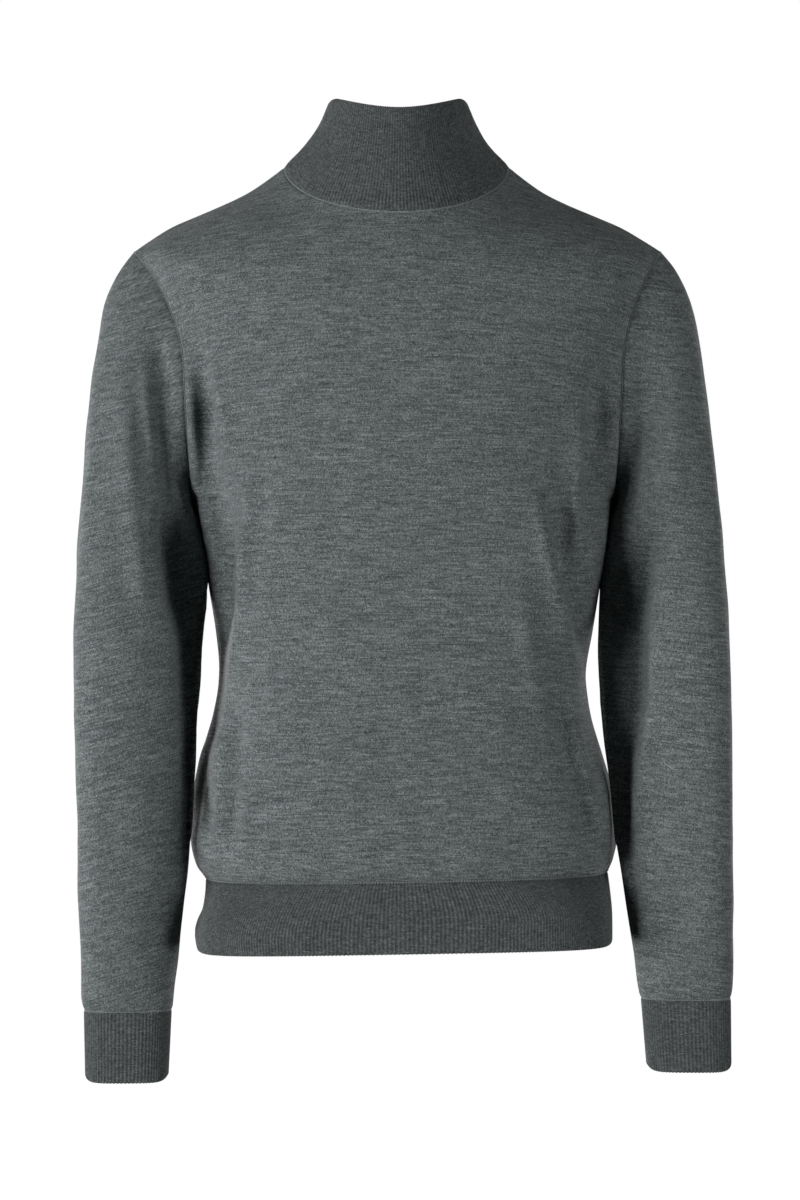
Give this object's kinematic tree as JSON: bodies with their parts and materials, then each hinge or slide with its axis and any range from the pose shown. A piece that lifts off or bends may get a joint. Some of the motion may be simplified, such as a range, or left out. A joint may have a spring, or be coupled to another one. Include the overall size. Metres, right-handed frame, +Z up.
{
  "type": "turtleneck sweater",
  "caption": "Fine knitted sweater with a high ribbed funnel neck, set-in long sleeves and ribbed hem and cuffs, hollow as if worn.",
  "frame": {"origin": "midway between the two shoulder seams and at their mean height, where the wearer's shoulders carry the garment", "axes": "+Z up, the front faces -Y, +X towards the wearer's left"},
  "size_m": [0.5535, 0.2252, 0.8302],
  "materials": {
    "jersey": "fine grey melange wool jersey, matt with a soft nap",
    "rib": "fine grey melange wool rib, matt with a soft nap"
  },
  "bodies": {
    "root": {"front": "jersey", "back": "jersey", "sleeve_right": "jersey", "sleeve_left": "jersey", "collar": "rib", "hem_rib_front": "rib", "hem_rib_back": "rib", "cuff_right": "rib", "cuff_left": "rib"}
  },
  "joints": []
}
